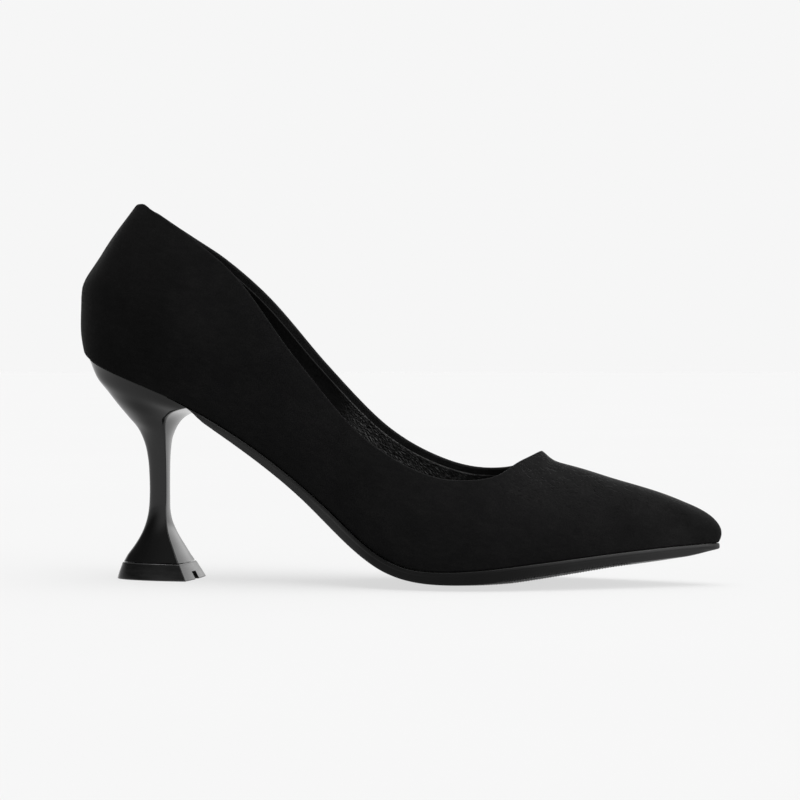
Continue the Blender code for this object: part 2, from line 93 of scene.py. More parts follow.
# Side view of the topline; the first rows round off the peak of the collar
Topline = namedtuple("Topline", "x outer_z inner_z")
TOPLINE = [Topline(*row) for row in (
    (21.0, 139.4, 139.4),
    (22.6, 140.0, 139.8),
    (24.5, 140.6, 139.7),
    (26.0, 141.0, 139.0),
    (28.0, 141.0, 137.4),
    (32.6, 138.6, 133.9),
    (38.0, 135.4, 130.2),
    (52.0, 125.9, 120.7),
    (68.0, 112.0, 106.6),
    (90.0, 83.7, 81.2),
    (114.0, 57.0, 57.2),
    (136.0, 43.1, 45.0),
    (152.0, 39.5, 42.0),
    (164.0, 41.0, 43.6),
    (171.0, 46.2, 47.2),
    (176.0, 49.3, 49.3),
)]

# How far the back of the counter stands out from the plain rib, by height: it has a corner half way up
Counter = namedtuple("Counter", "z push")
COUNTER = [Counter(*row) for row in (
    (82.0, 0.1),
    (88.0, 0.4),
    (94.0, 0.6),
    (98.0, 0.8),
    (103.0, 1.5),
    (107.0, 2.5),
    (111.0, 3.3),
    (113.5, 3.2),
    (118.0, 2.3),
    (121.0, 1.8),
    (126.0, 1.5),
    (130.0, 1.2),
    (134.0, 0.8),
    (138.0, 0.1),
    (142.0, -0.5),
)]

Bottom = namedtuple("Bottom", "x sag crown thick")
BOTTOM = [Bottom(*row) for row in (
    (0.0, 0.4, 0.0, 0.6),
    (30.0, 0.8, 0.0, 0.6),
    (47.0, 0.7, 0.0, 1.2),
    (55.0, 0.7, 0.0, 2.6),
    (68.0, 0.6, 0.0, 3.7),
    (90.0, 0.7, 0.1, 4.7),
    (106.0, 1.0, 0.3, 5.9),
    (120.0, 1.6, 0.6, 5.1),
    (136.0, 2.2, 0.9, 4.2),
    (165.0, 2.4, 1.0, 4.8),
    (200.0, 1.4, 0.5, 4.1),
    (228.0, 0.4, 0.2, 3.8),
    (240.0, 0.2, 0.1, 2.1),
)]

BULGE = 0.15  # how far the sides of the flare swell, as a share of its width
HeelSection = namedtuple("HeelSection", "front_x front_z back_x back_z width square bulge", defaults=(2.2, 0.0))
HEEL_SECTIONS = [HeelSection(*row) for row in (
    (41.6, TIP_HEIGHT + GAP, 17.2, TIP_HEIGHT + GAP, 22.0),
    (40.2, 9.0, 18.6, 9.0, 19.6),
    (38.7, 12.0, 20.9, 12.0, 17.0),
    (37.2, 15.0, 22.9, 15.0, 14.4),
    (35.95, 18.0, 24.5, 18.0, 12.0),
    (34.95, 21.5, 25.8, 21.5, 9.8),
    (34.4, 25.5, 26.7, 25.5, 8.0),
    (34.35, 31.0, 27.1, 31.0, 7.1),
    (34.35, 38.0, 27.05, 38.0, 7.1),
    (34.35, 44.0, 26.6, 45.0, 8.0, 2.3),
    (34.45, 49.0, 25.4, 51.2, 10.2, 2.5),
    (34.8, 53.4, 23.0, 56.8, 13.6, 2.7, BULGE * 0.6),
    (35.7, 57.6, 19.7, 61.0, 19.0, 2.9, BULGE),
    (37.4, 60.7, 15.6, 66.2, 25.4, 3.1, BULGE),
    (40.1, 62.6, 12.0, 71.2, 31.8, 3.2, BULGE * 0.55),
    (43.8, 63.8, 8.7, 75.8, 38.9, 3.3, BULGE * 0.15),
)]
SEAT_FRONT_X, SEAT_BACK_X = 48.2, 10.0
SEAT_STEPS, BACK_STEPS = 30, 14
SEAT_INSET, SEAT_BACK_INSET = 0.8, 1.4  # how far inside the feather line: at the sides, at the back
SEAT_GAP = 0.01
# Hidden top of the heel: share of its outline, and depth
SEAT_DISH = [(0.96, 0.0), (0.93, 0.3), (0.88, 0.9), (0.6, 1.4), (0.2, 1.6)]
RING_SQUARE = 3.0  # how square the D is by which the seat's points are spread round
FRONT_CONVEX = 0.022  # how far the heel's front face swells, as a share of its width
STEM_TURN = math.tan(math.radians(4.0))  # the stem's front turns a little to the inner side
STEM_GROWS, STEM_FADES = (16.0, 25.0), (52.0, 60.0)  # heights over which that turn comes and goes
# Heights, and the rounding of the front edges there
HEEL_EDGE = ((20.0, 42.0, 50.0, 56.0, 61.0, 64.5), (0.5, 0.6, 1.0, 1.5, 1.8, 1.2))

TipSection = namedtuple("TipSection", "z front_x back_x width")
TIP_SECTIONS = [TipSection(*row) for row in (
    (0.0, 45.2, 14.7, 27.8),
    (2.2, 44.1, 15.3, 26.2),
    (4.4, 42.9, 16.1, 24.4),
    (TIP_HEIGHT, 42.0, 16.7, 22.8),
)]
TIP_SQUARE = 2.2
TIP_EDGE = 0.35
# Heights of the tip's rings, and how far inside the plain section each lies
TIP_RIMS = [(0.0, 0.28), (0.08, 0.1), (0.26, 0.0), (0.6, 0.0), (2.2, 0.0), (3.6, 0.0), (5.0, 0.0), (5.7, 0.0),
            (5.98, 0.02), (6.12, 0.1), (TIP_HEIGHT, 0.24)]

# Soft marks in the suede of the vamp, seen from the side: from (x, z) to (x, z), depth and half width
Crease = namedtuple("Crease", "x0 z0 x1 z1 depth half")
CREASES = [Crease(*row) for row in (
    (172.0, 44.5, 181.0, 38.5, 0.26, 1.5),
    (177.5, 45.0, 189.0, 39.5, 0.22, 1.4),
    (170.5, 38.5, 176.5, 31.0, 0.24, 2.2),
    (186.0, 40.0, 203.0, 33.0, 0.16, 1.8),
    (164.0, 34.0, 170.0, 27.0, 0.16, 2.0),
)]
CREASE_FADE = (0.8, 3.0)  # distances from the topline over which they fade in
CREASE_SIDE = (0.25, -0.2)  # sideways part of the normal over which they fade in, on the outer side only
CREASE_RIDGE = 0.5  # height of the soft ridge beside each trough, as a share of its depth


# Smooth curves through table rows

def closed_spline(knots, values):
    """Return f(t), a smooth closed curve that passes each row of values at its knot."""
    steps = np.diff(knots)
    count = len(steps)
    ring = np.vstack([values, values[:1]])
    system = np.zeros((count, count))
    target = np.zeros((count, values.shape[1]))
    for i in range(count):
        before, after = steps[i - 1], steps[i]
        system[i, i - 1] += before
        system[i, i] += 2 * (before + after)
        system[i, (i + 1) % count] += after
        target[i] = 6 * ((ring[i + 1] - values[i]) / after - (values[i] - values[i - 1]) / before)
    bend = np.linalg.solve(system, target)
    bend = np.vstack([bend, bend[:1]])

    def at(t):
        t = np.asarray(t, float) % knots[-1]
        i = np.clip(np.searchsorted(knots, t, side="right") - 1, 0, count - 1)
        step = steps[i][..., None]
        a = (knots[i + 1] - t)[..., None] / step
        b = 1 - a
        curve = (a ** 3 - a) * bend[i] + (b ** 3 - b) * bend[i + 1]
        return a * ring[i] + b * ring[i + 1] + curve * step * step / 6

    return at


def table_curve(rows, column):
    """Return f(x) for one column of a table whose first column is x, with no overshoot between rows."""
    x = np.array([row[0] for row in rows])
    y = np.array([getattr(row, column) for row in rows])
    slope = np.diff(y) / np.diff(x)
    lean = np.concatenate([slope[:1], (slope[:-1] + slope[1:]) / 2, slope[-1:]])
    for i in range(1, len(x) - 1):
        if slope[i - 1] * slope[i] <= 0:
            lean[i] = 0.0
        else:
            limit = 3 * min(abs(slope[i - 1]), abs(slope[i]))
            lean[i] = math.copysign(min(abs(lean[i]), limit), slope[i])

    def at(value):
        value = np.asarray(value, float)
        i = np.clip(np.searchsorted(x, value, side="right") - 1, 0, len(x) - 2)
        step = x[i + 1] - x[i]
        t = np.clip((value - x[i]) / step, 0.0, 1.0)
        bend = (2 * t - 3) * t * t
        inside = y[i] * (1 + bend) - y[i + 1] * bend
        inside = inside + step * t * (1 - t) * ((1 - t) * lean[i] - t * lean[i + 1])
        return inside + lean[0] * np.minimum(value - x[0], 0.0) + lean[-1] * np.maximum(value - x[-1], 0.0)

    return at


def smoothstep(low, high, value):
    t = np.clip((value - low) / (high - low), 0.0, 1.0)
    return t * t * (3 - 2 * t)


def arc_length(rows):
    """Distance of each point from the first one, along each row of points."""
    steps = np.linalg.norm(np.diff(rows, axis=-2), axis=-1)
    return np.concatenate([np.zeros_like(steps[..., :1]), steps.cumsum(-1)], -1)


# The last. Its parameter t runs round the feather line: outer side to the toe, inner side back again.

def rib_knots():
    knots = [0.0]
    for a, b in zip(RIBS, RIBS[1:]):
        outer = math.dist((a.x, a.outer, a.z), (b.x, b.outer, b.z))
        inner = math.dist((a.x, a.inner, a.z), (b.x, b.inner, b.z))
        knots.append(knots[-1] + (outer + inner) / 2)
    return np.array(knots)


KNOTS = rib_knots()
TOE_T = KNOTS[-1]
THROAT_T = KNOTS[THROAT_RIB]


def rib_values(rib, side):
    y, swell = (rib.outer, rib.swell_outer) if side < 0 else (rib.inner, rib.swell_inner)
    return (rib.x, y, rib.z, rib.top_x, rib.top_y, rib.top_z, swell, rib.rise, rib.crown, rib.drop)


LAST = closed_spline(
    np.concatenate([KNOTS, 2 * TOE_T - KNOTS[-2::-1]]),
    np.array([rib_values(rib, -1) for rib in RIBS] + [rib_values(rib, 1) for rib in RIBS[-2:0:-1]]))


def other_side(t):
    return 2 * TOE_T - t


def from_back(t):
    """The parameter counted from the back on either side."""
    return np.minimum(t, other_side(t))


def feather(t):
    return LAST(t)[..., :3]


FEATHER_T = np.linspace(0.0, TOE_T, 401)
FEATHER_X, _, FEATHER_Z = feather(FEATHER_T).T


def feather_height(x):
    return np.interp(x, FEATHER_X, FEATHER_Z)


def outward(t):
    """Level direction out of the feather line at t."""
    step = 0.05
    run = feather(t + step) - feather(t - step)
    out = np.stack([run[..., 1], -run[..., 0], np.zeros_like(run[..., 0])], -1)
    return out / np.linalg.norm(out, axis=-1, keepdims=True)


Ridge = namedtuple("Ridge", "x y z")
RIDGE = [Ridge(rib.top_x, rib.top_y, rib.top_z) for rib in RIBS]
RIDGE_Y = table_curve(RIDGE, "y")
RIDGE_Z = table_curve(RIDGE, "z")


def ridge_run(t):
    before, after = LAST(t)[..., 3] - 0.5, LAST(t)[..., 3] + 0.5
    closed = smoothstep(KNOTS[THROAT_RIB - RIDGE_FADE], KNOTS[THROAT_RIB - 1], from_back(t))
    y_slope = RIDGE_Y(after) - RIDGE_Y(before)
    z_slope = RIDGE_Z(after) - RIDGE_Z(before)
    return np.stack([np.ones_like(closed), y_slope * closed, z_slope * closed], -1)


COUNTER_PUSH = table_curve(COUNTER, "push")


def last_points(t, v):
    """Points of the last, one row for each t, at that row of v: 0 at the feather line, 1 at the ridge."""
    values = LAST(t)
    foot, top = values[:, :3], values[:, 3:6]
    swell, rise, crown, drop = values[:, 6:].T
    none = np.zeros_like(swell)
    out = outward(t)
    slant = RIB_LEAN * (top[:, 0] - foot[:, 0]) * np.abs(out[:, 1])
    lower = foot + swell[:, None] * out + np.stack([slant, none, rise], -1)
    along = crown * out[:, 0] - slant
    upper = top + along[:, None] * ridge_run(t) + np.stack([none, crown * out[:, 1], -drop], -1)
    v = v[..., None]
    w = 1 - v
    a, b, c, d = (handle[:, None, :] for handle in (foot, lower, upper, top))
    point = w ** 3 * a + 3 * w * w * v * b + 3 * w * v * v * c + v ** 3 * d
    throat = RIBS[THROAT_RIB]
    lip = np.exp(-((point[..., 0] - throat.top_x) / THROAT_LIP_LENGTH) ** 2
                 - ((point[..., 1] - throat.top_y) / THROAT_LIP_HALF) ** 2)
    push = COUNTER_PUSH(point[..., 2]) * np.maximum(-out[:, None, 0], 0.0) ** 2
    point = point + push[..., None] * out[:, None, :]
    point[..., 2] += THROAT_LIP * lip
    return point


TOPLINE_OUTER = table_curve(TOPLINE, "outer_z")
TOPLINE_INNER = table_curve(TOPLINE, "inner_z")


def first_crossing(amount, v):
    """v where amount, which starts below zero in each row, first passes zero, or else the last v."""
    above = amount >= 0
    hit = np.where(above.any(1), above.argmax(1), amount.shape[1] - 1)
    row = np.arange(len(amount))
    a, b = amount[row, hit - 1], amount[row, hit]
    share = np.clip(-a / np.where(b - a == 0, 1.0, b - a), 0.0, 1.0)
    return v[row, hit - 1] + share * (v[row, hit] - v[row, hit - 1])


def topline_v(t):
    """Where the topline cuts the rib at each t; 1 ahead of the throat."""
    v = np.repeat(np.linspace(0.2, 1.0, 500)[None, :], len(t), 0)
    point = last_points(t, v)
    height = np.where((t < TOE_T)[:, None], TOPLINE_OUTER(point[..., 0]), TOPLINE_INNER(point[..., 0]))
    cut = first_crossing(point[..., 2] - height, v)
    return np.where(from_back(t) >= THROAT_T - TINY, 1.0, cut)


# Meshes

def make_object(name, points, faces, material, inner=None):
    """One mesh of welded points, in table millimetres; inner is a second material and the faces it is on."""
    points = np.asarray(points, float)
    placed = (points - np.array([LENGTH / 2, MIDDLE_Y, 0.0])) * MM
    mesh = bpy.data.meshes.new(name)
    mesh.from_pydata(placed.tolist(), [], faces)
    bm = bmesh.new()
    bm.from_mesh(mesh)
    if inner:
        bm.faces.ensure_lookup_table()
        for i in inner[1]:
            bm.faces[i].material_index = 1
    bmesh.ops.remove_doubles(bm, verts=bm.verts, dist=WELD * MM)
    bmesh.ops.dissolve_degenerate(bm, edges=bm.edges, dist=SHORTEST_EDGE * MM)
    bmesh.ops.recalc_face_normals(bm, faces=bm.faces)
    bm.to_mesh(mesh)
    bm.free()
    mesh.shade_smooth()
    mesh.set_sharp_from_angle(angle=math.radians(SHARP_ANGLE))
    mesh.materials.append(material)
    if inner:
        mesh.materials.append(inner[0])
    obj = bpy.data.objects.new(name, mesh)
    bpy.context.scene.collection.objects.link(obj)
    return obj


def attach(obj, node):
    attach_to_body(obj, "root")
    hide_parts(node)


def closed_faces(columns, levels, offset=0, flip=False):
    """Quads of a grid whose columns close into a ring."""
    faces = []
    for c in range(columns):
        here, there = offset + c * levels, offset + (c + 1) % columns * levels
        for k in range(levels - 1):
            quad = (here + k, there + k, there + k + 1, here + k + 1)
            faces.append(quad[::-1] if flip else quad)
    return faces


def loop_strip(columns, levels, offset, level):
    """Quads that join one level of two grids of the same size, the second starting at offset."""
    faces = []
    for c in range(columns):
        a, b = c * levels + level, (c + 1) % columns * levels + level
        faces.append((a, offset + a, offset + b, b))
    return faces


def wall_object(name, front, back, material, flip=False, back_material=None):
    """Closed wall between two grids of the same size, joined at their first level and welded at their last."""
    columns, height = front.shape[:2]
    offset = columns * height
    faces = closed_faces(columns, height, 0, flip)
    inner = (back_material, range(len(faces), 2 * len(faces))) if back_material else None
    faces += closed_faces(columns, height, offset, not flip) + loop_strip(columns, height, offset, 0)
    points = np.concatenate([front.reshape(-1, 3), back.reshape(-1, 3)])
    return make_object(name, points, faces, material, inner)


def grid_normals(points, t):
    """Outward normals of a wall grid, the same on both sides of the ridge."""
    along = np.roll(points, -1, 0) - np.roll(points, 1, 0)
    normal = np.cross(along, np.gradient(points, axis=1))
    size = np.linalg.norm(normal, axis=-1, keepdims=True)
    normal = np.where(size > TINY, normal / np.maximum(size, TINY), 0.0)
    mirrored = (len(t) - np.arange(len(t))) % len(t)
    closed = from_back(t) >= THROAT_T - TINY
    normal[closed, -1] += normal[mirrored[closed], -1]
    lost = np.linalg.norm(normal, axis=-1) < 1e-6
    normal = np.where(lost[..., None], np.roll(normal, 1, 0) + np.roll(normal, -1, 0), normal)
    return normal / np.linalg.norm(normal, axis=-1, keepdims=True)


def nearest(line, points):
    """Distance of each point to a closed line of points."""
    tree = KDTree(len(line))
    for i, point in enumerate(line):
        tree.insert(Vector(point), i)
    tree.balance()
    flat = points.reshape(-1, 3)
    found = np.array([tree.find(Vector(point))[2] for point in flat])
    return found.reshape(points.shape[:-1])


def dense(line, step=0.08):
    """The same open line with a point every step."""
    out = []
    for a, b in zip(line, line[1:]):
        count = max(1, int(np.linalg.norm(b - a) / step))
        out += [a + (b - a) * i / count for i in range(count)]
    return np.array(out + [line[-1]])


# Extra columns of the wall, as distances from the throat, and from the end of the lining ahead of it
SUEDE_COLUMNS = np.array([-3.0, -2.0, -1.2, -0.6, -0.25, 0.1, 0.25, 0.42, 0.62, 0.85, 1.1, 1.5, 2.0, 2.6])
FACING_COLUMNS = np.array([-3.0, -1.5, -0.7])
LINING_COLUMNS = np.array([-2.4, -1.5, -0.9, -0.45, -0.15, 0.0, 0.15, 0.4, 0.7, 1.1, 1.7])
COLUMNS_PER_RIB = 10
THROAT_ROUNDING = 1e-5  # more than the rounding of the columns' parameters


def wall_columns(extra):
    """Parameters of the wall's columns, all round, with extra ones near the throat."""
    even = [np.linspace(a, b, COLUMNS_PER_RIB, endpoint=False) for a, b in zip(KNOTS, KNOTS[1:])]
    stations = np.unique(np.round(np.concatenate(even + [[TOE_T], extra]), 6))
    return np.concatenate([stations, other_side(stations[-2:0:-1])])


# Distances of the wall's levels from its top and from its bottom, and the number of even ones between them
TOP_STEPS = np.array([0.0, 0.05, 0.14, 0.26, 0.4, 0.55, 0.72, 1.0, 1.5, 2.2, 3.1, 4.2, 5.4])
BOTTOM_STEPS = np.array([0.0, 0.08, 0.22, 0.42, 0.7, 1.1, 1.6, 2.3, 3.2])
BODY_STEPS = 32


def wall_levels(t, top):
    """v of each level in each column: close together below the top, even further down."""
    v = np.linspace(0.0, 1.0, 260)[None, :] * top[:, None]
    point = last_points(t, v)
    arc = arc_length(point)
    levels = []
    for i in range(len(t)):
        whole = arc[i, -1]
        body = np.linspace(BOTTOM_STEPS[-1], whole - TOP_STEPS[-1], BODY_STEPS)
        places = np.concatenate([BOTTOM_STEPS[:-1], body, whole - TOP_STEPS[-2::-1]])
        levels.append(np.interp(places, arc[i], v[i]))
    return np.array(levels)


def topline_points():
    t = np.concatenate([np.linspace(0.0, THROAT_T, 500), other_side(np.linspace(THROAT_T, 0.0, 500))])
    return last_points(t, topline_v(t)[:, None])[:, 0]


TOPLINE_LINE = dense(topline_points())


def creased(points, normals, from_topline):
    """Press the soft marks into the outer side of the vamp."""
    push = np.zeros(points.shape[:-1])
    for crease in CREASES:
        a, b = np.array([crease.x0, crease.z0]), np.array([crease.x1, crease.z1])
        run = b - a
        flat = points[..., [0, 2]] - a
        along = flat @ run / (run @ run)
        aside = (flat[..., 0] * run[1] - flat[..., 1] * run[0]) / np.linalg.norm(run)
        fade = smoothstep(-0.25, 0.3, along) * (1 - smoothstep(0.7, 1.25, along))
        trough = np.exp(-(aside / crease.half) ** 2)
        trough -= CREASE_RIDGE * np.exp(-((aside - 2 * crease.half) / crease.half) ** 2)
        push += crease.depth * fade * trough
    push *= smoothstep(*CREASE_SIDE, normals[..., 1]) * smoothstep(*CREASE_FADE, from_topline)
    return points - push[..., None] * normals


def turned_under(points, t):
    """How far in each point of the wall goes where the suede rounds off towards the sole and the heel."""
    radius = (FEATHER_ROUND + (BACK_ROUND - FEATHER_ROUND) * np.maximum(-outward(t)[:, 0], 0.0) ** 2)[:, None]
    up = np.minimum(arc_length(points), radius)
    return np.minimum(radius - np.sqrt(np.maximum(radius ** 2 - (radius - up) ** 2, 0.0)), MOST_TURNED)


def build_suede(material, facing):
    t = wall_columns(THROAT_T + SUEDE_COLUMNS)
    points = last_points(t, wall_levels(t, topline_v(t)))
    normals = grid_normals(points, t)
    radius = SUEDE_WALL / 2
    from_topline = nearest(TOPLINE_LINE, points)
    edge = np.minimum(from_topline, radius)
    edge[from_back(t) < THROAT_T + TINY, -1] = 0.0
    rounding = radius - np.sqrt(np.maximum(radius ** 2 - (radius - edge) ** 2, 0.0))
    face = creased(points, normals, from_topline) - (rounding + turned_under(points, t))[..., None] * normals
    back = points - (SUEDE_WALL - rounding)[..., None] * normals
    return wall_object("suede_upper", face, back, material, back_material=facing)


def drop_v(t, drop):
    """Where each rib lies a distance below the topline; 1 where the ridge is further from it than that."""
    top = topline_v(t)
    share = np.linspace(1.0, 0.05, 260)
    v = top[:, None] * share[None, :]
    distance = nearest(TOPLINE_LINE, last_points(t, v))
    cut = first_crossing(distance - drop, v)
    return np.where(distance[:, 0] >= drop, top, cut)


def lining_throat(drop):
    """Parameter ahead of the throat where the ridge is a distance from the topline."""
    low, high = THROAT_T, KNOTS[THROAT_RIB + 2]
    for _ in range(40):
        t = (low + high) / 2
        ridge = last_points(np.array([t]), np.array([[1.0]]))
        low, high = (t, high) if nearest(TOPLINE_LINE, ridge)[0, 0] < drop else (low, t)
    return low


def build_lining(material):
    throat = lining_throat(LINING_DROP)
    t = wall_columns(np.concatenate([THROAT_T + FACING_COLUMNS, throat + LINING_COLUMNS]))
    top = drop_v(t, LINING_DROP)
    ahead = from_back(t) >= throat - THROAT_ROUNDING
    top[ahead] = 1.0
    points = last_points(t, wall_levels(t, top))
    normals = grid_normals(points, t)
    behind = ~ahead | (np.abs(from_back(t) - throat) < 2 * THROAT_ROUNDING)
    order = np.concatenate([np.where(behind & (t > TOE_T))[0], np.where(behind & (t < TOE_T))[0]])
    edge_line = dense(points[order, -1])
    edge = np.minimum(nearest(edge_line, points) / LINING_THICK, 1.0)
    edge[behind, -1] = 0.0
    thick = LINING_THICK * np.sqrt(np.maximum(1 - (1 - edge) ** 2, 0.0))
    under = points - (SUEDE_WALL + LINING_GAP) * normals
    return wall_object("lining", under - thick[..., None] * normals, under, material, flip=True)


# Underside of the last, and the pieces that follow it

LAST_SAG = table_curve(BOTTOM, "sag")
SOLE_CROWN = table_curve(BOTTOM, "crown")
SOLE_THICK = table_curve(BOTTOM, "thick")


def hang(t, share):
    """How much of a sag the underside has: none at the edges and at the two ends."""
    width = feather(other_side(t))[..., 1] - feather(t)[..., 1]
    return (1 - share * share) * smoothstep(0.0, FULL_SAG_WIDTH, width)


def across(t, inset, share):
    """Points on the underside of the last: share runs from the outer edge (-1) to the inner edge (1)."""
    outer = feather(t) - inset * outward(t)
    inner = feather(other_side(t)) - inset * outward(other_side(t))
    point = outer + (inner - outer) * ((1 + share) / 2)[..., None]
    point[..., 2] = feather_height(point[..., 0]) - LAST_SAG(point[..., 0]) * hang(t, share)
    return point


def ring_solid(name, rings, material):
    """Closed solid through rings of equal length; each end is closed by one face."""
    count = rings.shape[1]
    faces = []
    for r in range(len(rings) - 1):
        for i in range(count):
            j = (i + 1) % count
            faces.append((r * count + i, r * count + j, (r + 1) * count + j, (r + 1) * count + i))
    last = (len(rings) - 1) * count
    faces += [tuple(range(count))[::-1], tuple(range(last, last + count))]
    return make_object(name, rings.reshape(-1, 3), faces, material)


# Cross section of the sock's edge: how far in from the wall, and how far below its face
SOCK_EDGE = np.array([(0.0, 1.2), (0.0, 0.45), (0.1, 0.2), (0.28, 0.06), (0.55, 0.0)])
SOCK_STEP, SOCK_POINTS = 1.6, 29


def build_sock(material):
    """Leather sock over the insole board, with a soft edge."""
    t = np.linspace(0.0, TOE_T, int(TOE_T / SOCK_STEP) + 1)
    inset = SUEDE_WALL + LINING_THICK + SOCK_GAP
    shares = -np.cos(np.linspace(0.0, math.pi, SOCK_POINTS))

    def line(depth, share, down):
        height = np.array([0.0, 0.0, INSOLE_THICK + SOCK_THICK - down])
        return across(t, inset + depth, np.zeros_like(t) + share) + height

    ring = [line(depth, -1, down) for depth, down in SOCK_EDGE]
    ring += [line(SOCK_EDGE[-1][0], share, 0.0) for share in shares[1:-1]]
    ring += [line(depth, 1, down) for depth, down in SOCK_EDGE[::-1]]
    ring += [line(0.0, share, INSOLE_THICK + SOCK_THICK) for share in shares[::-1]]
    return ring_solid("insole_sock", np.stack(ring, 1), material)


# Cross section of the sole's edge: how far out from the feather line and how far below it. The first rows
# are the lip and its bead; the share column moves a row down with the sole's thickness.
SoleEdge = namedtuple("SoleEdge", "out down share", defaults=(0.0,))
SOLE_EDGE = [SoleEdge(*row) for row in (
    (-1.2, 0.28),
    (-0.15, 0.28),
    (-0.10, 0.02),
    (0.04, -0.13),
    (0.24, -0.18),
    (0.46, -0.12),
    (0.66, 0.06),
    (0.79, 0.30),
    (0.88, 0.60),
    (0.90, 0.92),
    (0.83, 1.20),
    (0.66, 1.42),
    (0.52, 1.56),
    (0.46, 1.70, 0.02),
    (0.30, 1.1, 0.4),
    (0.02, 0.6, 0.68),
    (-0.3, 0.2, 0.88),
    (-0.55, 0.06, 0.95),
    (-0.95, 0.02, 0.985),
    (-1.5, 0.0, 1.0),
)]
LIP_ROWS, ROW_STEP = 4, 0.004  # below the lip each row lies at least this much lower than the one before
LIP_CAP = 0.3  # share of the sole's thickness that its first row may take up
SKIVE_RUN = (1.0, 2.7)  # thicknesses between which the lip and its bead grow
SKIVED_LIP = 0.2  # share of the lip that is left where the sole is skived
STEEPEST = 0.6  # the edge is stretched downwards on a slope, up to one of this cosine
TONGUE_RUN = 4.0
SLIVER = 0.3  # share of the full thickness that the sole has above the breast
BREAST_RUN = (47.5, 54.5)
UNDER_SLOPE = 0.075  # the underside sinks this much for each millimetre in from its edge
TREAD_PITCH = 1.0
TREAD_DEPTH = 0.5
TREAD_START, TREAD_END, TREAD_FADE = 132.0, 206.0, 3.0
TREAD_SHARE = 0.93  # share of the half width that the tread covers in full
TOOTH_RUN = (164.0, 171.0)  # where the tread comes out at the edge as small teeth
TOOTH_ROWS = (0.75, 0.95)  # share column of the rows that have them
UNDER_POINTS, OVER_SKIP = 65, 8
TREAD_TURN = math.radians(12.0)  # the forefoot's axis, and its tread with it, turns to the inner side


def tongue_edge(x, least=0.15):
    """Thickness of the sole's edge: least at the end of its tongue, a thin sliver above the breast."""
    grown = SLIVER * smoothstep(TONGUE_X, TONGUE_X + TONGUE_RUN, x) + (1 - SLIVER) * smoothstep(*BREAST_RUN, x)
    return (GAP + SOLE_THICK(x)) * np.maximum(grown, least)


def sole_drop(x, t, share):
    """Thickness of the sole straight down at a point of its underside."""
    return tongue_edge(x) + SOLE_CROWN(x) * hang(t, share)


def tread(point):
    """Depth of the fine cross grooves at each point."""
    run = point[:, 0] * math.cos(TREAD_TURN) + point[:, 1] * math.sin(TREAD_TURN)
    ended = smoothstep(TREAD_END - TREAD_FADE, TREAD_END, run)
    inside = smoothstep(TREAD_START, TREAD_START + TREAD_FADE, run) * (1 - ended)
    wave = np.cos(2 * math.pi * run / TREAD_PITCH)
    return TREAD_DEPTH * inside * smoothstep(-0.4, 0.4, wave)


def sole_stations():
    """Parameters of the sole's cross sections, close together where the tread is."""
    start, first, last = np.interp((TONGUE_X, TREAD_START - 8.0, TREAD_END + 4.0), FEATHER_X, FEATHER_T)
    runs = ((start, first, 0.7), (first, last, 0.19), (last, TOE_T, 0.4))
    stations = [np.linspace(a, b, int((b - a) / step), endpoint=False) for a, b, step in runs]
    return np.concatenate(stations + [[TOE_T]])


def build_outsole(material):
    t = sole_stations()
    none = np.zeros_like(t)
    run = np.gradient(feather(t), axis=0)
    cosine = np.abs(run[:, 0] / np.linalg.norm(run, axis=1))
    stretch = 1 / np.maximum(cosine, STEEPEST)
    skive = smoothstep(*SKIVE_RUN, SOLE_THICK(feather(t)[:, 0]))

    def edge(side):
        at = t if side < 0 else other_side(t)
        rows = []
        above = none
        for place, row in enumerate(SOLE_EDGE):
            base = feather(at) + (row.out * (skive if row.out > 0 else 1 + none))[:, None] * outward(at)
            base[:, 2] = feather_height(base[:, 0])
            drop = sole_drop(base[:, 0], t, none + side)
            lip = row.down < SOLE_EDGE[0].down
            own = row.down * stretch * np.where(lip, skive, np.minimum(skive + SKIVED_LIP, 1.0))
            down = np.maximum(own, GAP * 0.9 * (1 - skive)) * (1 - row.share) + drop * row.share
            down = np.maximum(down, above + ROW_STEP) if place > LIP_ROWS else down
            above = down
            cap = LIP_CAP + (1 - LIP_CAP) * math.sqrt(place / (len(SOLE_EDGE) - 1))
            base[:, 2] -= np.minimum(down, drop * cap)
            tooth = smoothstep(*TOOTH_ROWS, row.share) * smoothstep(*TOOTH_RUN, base[:, 0])
            base[:, 2] = np.maximum(base[:, 2], 0.0) + tread(base) * tooth
            rows.append(base)
        return rows

    under = []
    half_width = (feather(other_side(t)) - feather(t))[:, 1] / 2
    shares = -np.cos(np.linspace(0.0, math.pi, UNDER_POINTS))
    for share in shares[1:-1]:
        point = across(t, -SOLE_EDGE[-1].out, none + share)
        level = feather_height(point[:, 0]) - sole_drop(point[:, 0], t, none + 1)
        crowned = point[:, 2] - sole_drop(point[:, 0], t, share)
        shallow = level - UNDER_SLOPE * half_width * (1 - abs(share))
        height = np.maximum(np.maximum(crowned, shallow), 0.0)
        point[:, 2] = height + tread(point) * smoothstep(1.0, TREAD_SHARE, abs(share))
        under.append(point)
    over = []
    for share in shares[::-OVER_SKIP]:
        point = across(t, -SOLE_EDGE[0].out, none + share)
        point[:, 2] -= np.minimum(GAP, LIP_CAP * sole_drop(point[:, 0], t, share))
        over.append(point)
    ring = edge(-1) + under + edge(1)[::-1] + over[1:-1]
    return ring_solid("outsole_rubber", np.stack(ring, 1), material)


# Heel

